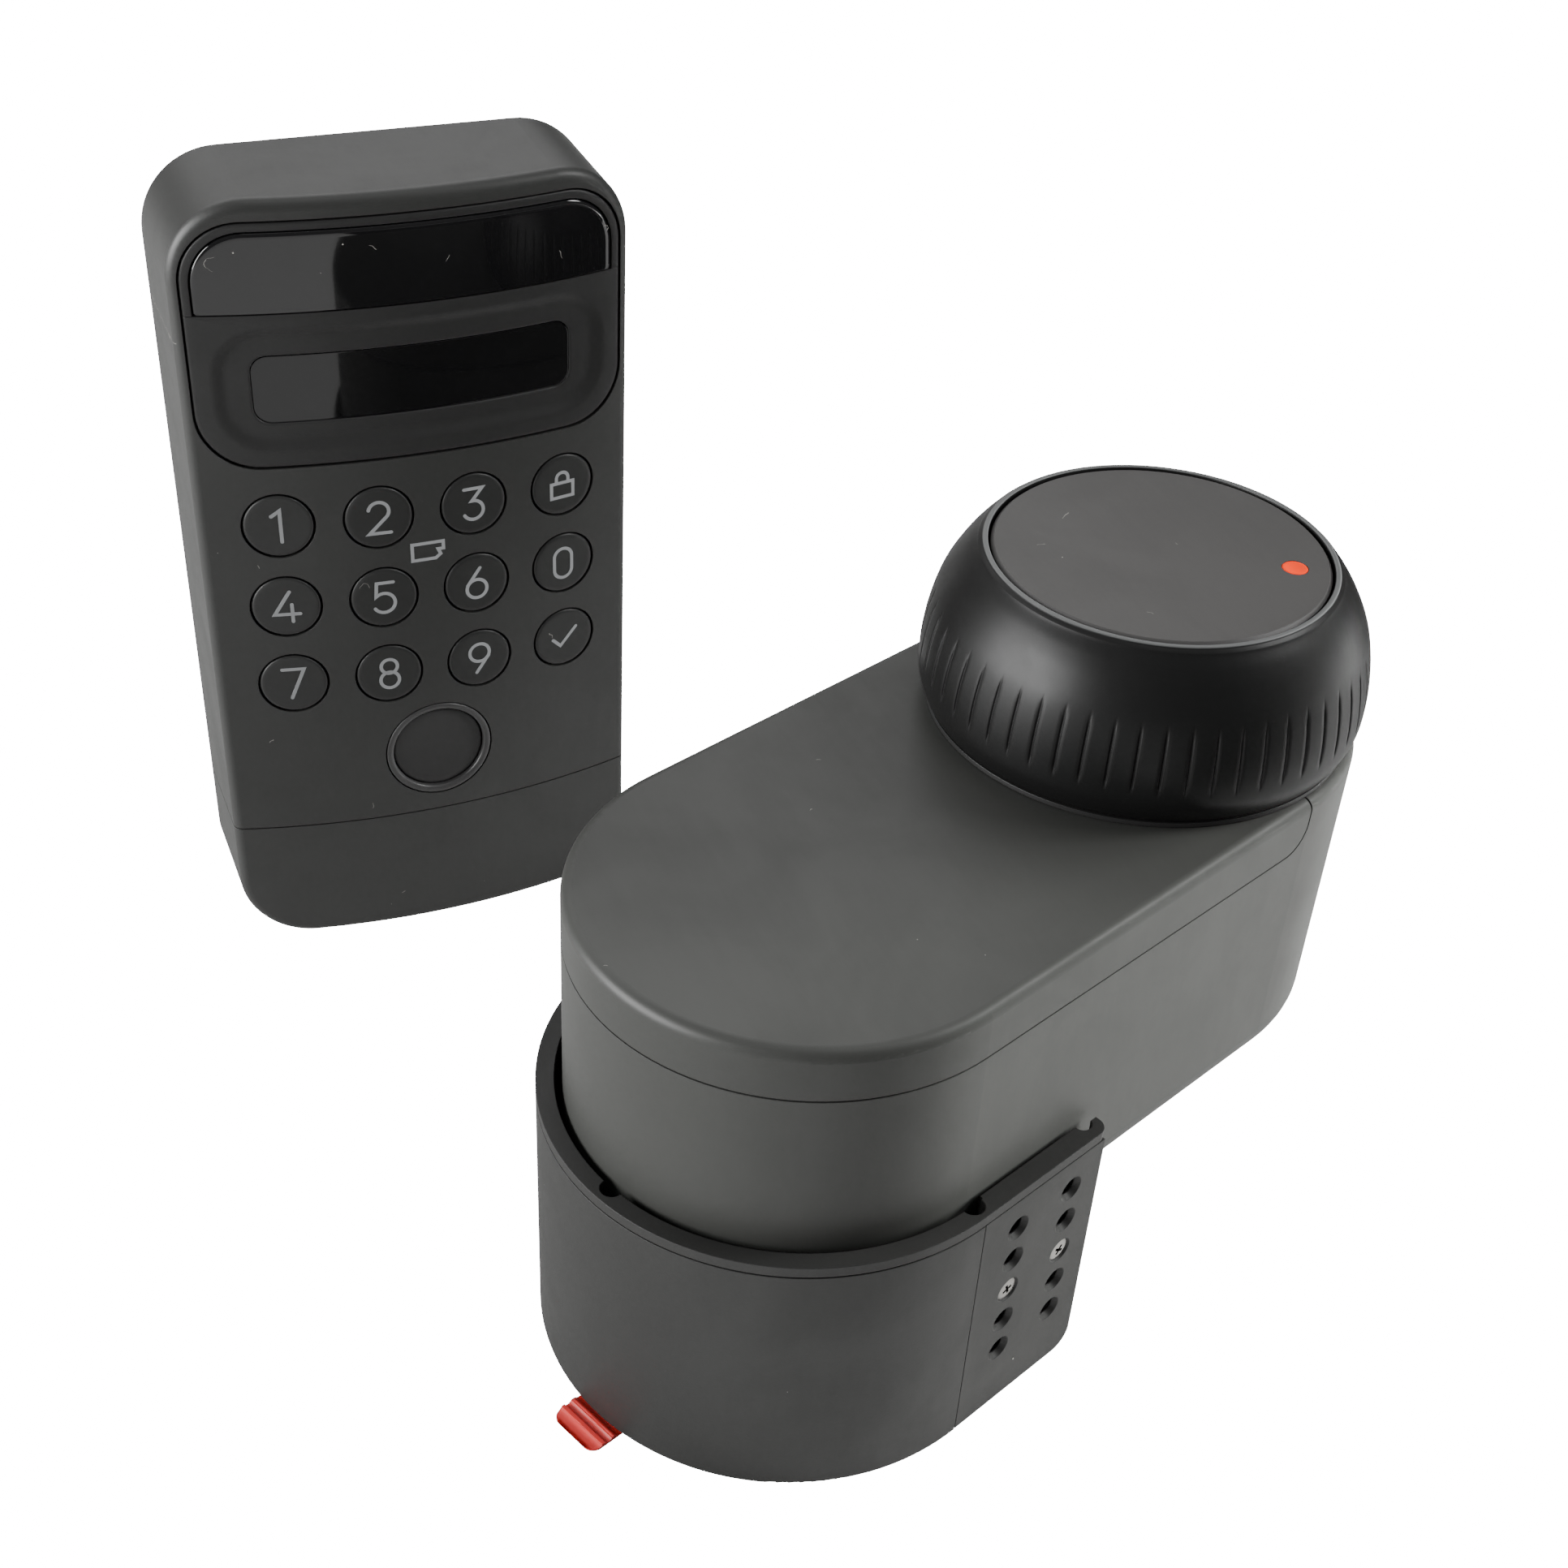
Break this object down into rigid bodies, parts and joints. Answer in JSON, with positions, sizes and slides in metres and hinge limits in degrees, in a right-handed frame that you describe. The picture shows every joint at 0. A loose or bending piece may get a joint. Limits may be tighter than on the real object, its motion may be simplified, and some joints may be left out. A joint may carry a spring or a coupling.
{
  "type": "keypad smart lock",
  "caption": "Motor lock with a turning knob, carried in a stick-on height-adjustable bracket, with a separate wall keypad that has round keys, a display and a fingerprint reader.",
  "frame": {"origin": "centre of the bracket's round end, on the door face", "axes": "+Z out from the door face, along the knob; the keypad stands beside the lock with its back to +Y and its face to -Y; the lock's long axis lies 21.3 degrees from +X towards +Y"},
  "size_m": [0.1388, 0.1518, 0.1225],
  "materials": {
    "shell_charcoal": "fine-grained matte moulding",
    "cover_charcoal": "fine-grained matte moulding",
    "bracket_black": "matte moulding with fine grain",
    "knob_black": "satin black",
    "quick_key_black": "flat soft-touch",
    "indicator_orange": "printed satin",
    "liner_red": "translucent film",
    "foam_black": "foam tape",
    "screw_steel": "dark zinc",
    "keypad_charcoal": "fine-grained matte moulding",
    "panel_black": "smooth matte",
    "window_gloss": "polished tinted acrylic",
    "lens_gloss": "polished tinted acrylic",
    "key_charcoal": "matte, pale printed mark",
    "reader_black": "smooth satin",
    "reader_ring": "satin moulded ring",
    "silicone_grey": "moulded silicone",
    "circuit_green": "glass-epoxy board",
    "circuit_blue": "glass-epoxy board",
    "nylon_white": "moulded acetal",
    "frame_grey": "moulded",
    "tray_grey": "moulded",
    "cell_wrap": "printed sleeve",
    "contact_brass": "plated strip",
    "motor_steel": "plated can",
    "gear_steel": "cut teeth",
    "shaft_steel": "ground",
    "bush_bronze": "sintered",
    "magnet_dark": "ferrite",
    "jaw_rubber": "moulded",
    "pouch_silver": "foil pouch",
    "plate_black": "matte moulding"
  },
  "bodies": {
    "mount": {"adhesive_pad": "foam_black", "release_liner": "liner_red", "mount_base": "bracket_black", "mount_band": "bracket_black", "mount_cradle": "bracket_black", "mount_screws": "screw_steel"},
    "lock": {"lock_shell": "shell_charcoal", "underside_cover": "frame_grey", "underside_screws": "screw_steel", "battery_tray": "tray_grey", "batteries": "cell_wrap", "battery_contacts": "contact_brass", "battery_lid": "tray_grey", "main_board": "circuit_green", "motor": "motor_steel", "gear_frame": "frame_grey", "frame_screws": "screw_steel", "idler_shaft": "shaft_steel", "spindle_bearings": "bush_bronze", "knob_base_ring": "knob_black"},
    "battery_cover": {"battery_cover": "cover_charcoal"},
    "drive": {"output_gear": "gear_steel", "spindle": "frame_grey", "position_magnet": "magnet_dark", "thumbturn_socket": "bracket_black", "socket_pads": "jaw_rubber", "knob_ring": "knob_black", "quick_key_board": "circuit_green"},
    "quick_key": {"quick_key_disc": "quick_key_black", "indicator_dot": "indicator_orange"},
    "idler": {"idler_gear": "nylon_white"},
    "pinion": {"motor_pinion": "contact_brass"},
    "wall_plate": {"wall_plate": "plate_black"},
    "keypad": {"keypad_shell": "keypad_charcoal", "inset_panel": "panel_black", "sensor_window": "window_gloss", "display_lens": "lens_gloss", "display_panel": "lens_gloss", "camera_module": "circuit_blue", "key_mat": "silicone_grey", "keypad_board": "circuit_blue", "fingerprint_ring": "reader_ring", "fingerprint_sensor": "reader_black", "keypad_battery": "pouch_silver", "rear_cover": "plate_black", "rear_screws": "screw_steel"},
    "lower_cover": {"lower_cover": "keypad_charcoal"},
    "key_0": {"key_0": "key_charcoal"},
    "key_1": {"key_1": "key_charcoal"},
    "key_2": {"key_2": "key_charcoal"},
    "key_3": {"key_3": "key_charcoal"},
    "key_4": {"key_4": "key_charcoal"},
    "key_5": {"key_5": "key_charcoal"},
    "key_6": {"key_6": "key_charcoal"},
    "key_7": {"key_7": "key_charcoal"},
    "key_8": {"key_8": "key_charcoal"},
    "key_9": {"key_9": "key_charcoal"},
    "key_lock": {"key_lock": "key_charcoal"},
    "key_check": {"key_check": "key_charcoal"}
  },
  "joints": [
    {"name": "lock_lift", "type": "slide", "parent": "mount", "child": "lock", "axis": [0, 0, 1], "range_m": [0, 0.04]},
    {"name": "cover_slide", "type": "slide", "parent": "lock", "child": "battery_cover", "axis": [-0.9317, -0.3633, 0], "range_m": [0, 0.09]},
    {"name": "knob_turn", "type": "hinge", "parent": "lock", "child": "drive", "pos_m": [0.05683, 0.02216, 0.08], "axis": [0, 0, 1], "continuous": true},
    {"name": "quick_key_press", "type": "slide", "parent": "drive", "child": "quick_key", "axis": [0, 0, -1], "range_m": [0, 0.0006], "stiffness_N_per_m": 800, "springref_m": -0.0002},
    {"name": "idler_turn", "type": "hinge", "parent": "lock", "child": "idler", "pos_m": [0.0358, 0.00368, 0.055], "axis": [0, 0, 1], "continuous": true},
    {"name": "pinion_turn", "type": "hinge", "parent": "lock", "child": "pinion", "pos_m": [0.02134, 0.0175, 0.058], "axis": [0, 0, 1], "continuous": true},
    {"name": "wall_plate_lift", "type": "slide", "parent": "mount", "child": "wall_plate", "axis": [0, 0, 1], "range_m": [0, 0.03]},
    {"name": "keypad_unhook", "type": "slide", "parent": "wall_plate", "child": "keypad", "axis": [0, -1, 0], "range_m": [0, 0.022]},
    {"name": "lower_cover_off", "type": "slide", "parent": "keypad", "child": "lower_cover", "axis": [0, -1, 0], "range_m": [0, 0.02]},
    {"name": "key_0_press", "type": "slide", "parent": "keypad", "child": "key_0", "axis": [0, 1, 0], "range_m": [0, 0.0005], "stiffness_N_per_m": 400, "springref_m": -0.0002},
    {"name": "key_1_press", "type": "slide", "parent": "keypad", "child": "key_1", "axis": [0, 1, 0], "range_m": [0, 0.0005], "stiffness_N_per_m": 400, "springref_m": -0.0002},
    {"name": "key_2_press", "type": "slide", "parent": "keypad", "child": "key_2", "axis": [0, 1, 0], "range_m": [0, 0.0005], "stiffness_N_per_m": 400, "springref_m": -0.0002},
    {"name": "key_3_press", "type": "slide", "parent": "keypad", "child": "key_3", "axis": [0, 1, 0], "range_m": [0, 0.0005], "stiffness_N_per_m": 400, "springref_m": -0.0002},
    {"name": "key_4_press", "type": "slide", "parent": "keypad", "child": "key_4", "axis": [0, 1, 0], "range_m": [0, 0.0005], "stiffness_N_per_m": 400, "springref_m": -0.0002},
    {"name": "key_5_press", "type": "slide", "parent": "keypad", "child": "key_5", "axis": [0, 1, 0], "range_m": [0, 0.0005], "stiffness_N_per_m": 400, "springref_m": -0.0002},
    {"name": "key_6_press", "type": "slide", "parent": "keypad", "child": "key_6", "axis": [0, 1, 0], "range_m": [0, 0.0005], "stiffness_N_per_m": 400, "springref_m": -0.0002},
    {"name": "key_7_press", "type": "slide", "parent": "keypad", "child": "key_7", "axis": [0, 1, 0], "range_m": [0, 0.0005], "stiffness_N_per_m": 400, "springref_m": -0.0002},
    {"name": "key_8_press", "type": "slide", "parent": "keypad", "child": "key_8", "axis": [0, 1, 0], "range_m": [0, 0.0005], "stiffness_N_per_m": 400, "springref_m": -0.0002},
    {"name": "key_9_press", "type": "slide", "parent": "keypad", "child": "key_9", "axis": [0, 1, 0], "range_m": [0, 0.0005], "stiffness_N_per_m": 400, "springref_m": -0.0002},
    {"name": "key_lock_press", "type": "slide", "parent": "keypad", "child": "key_lock", "axis": [0, 1, 0], "range_m": [0, 0.0005], "stiffness_N_per_m": 400, "springref_m": -0.0002},
    {"name": "key_check_press", "type": "slide", "parent": "keypad", "child": "key_check", "axis": [0, 1, 0], "range_m": [0, 0.0005], "stiffness_N_per_m": 400, "springref_m": -0.0002}
  ],
  "couplings": [
    {"joint": "idler_turn", "follows": "knob_turn", "ratio": -3},
    {"joint": "pinion_turn", "follows": "knob_turn", "ratio": 7.7143}
  ]
}
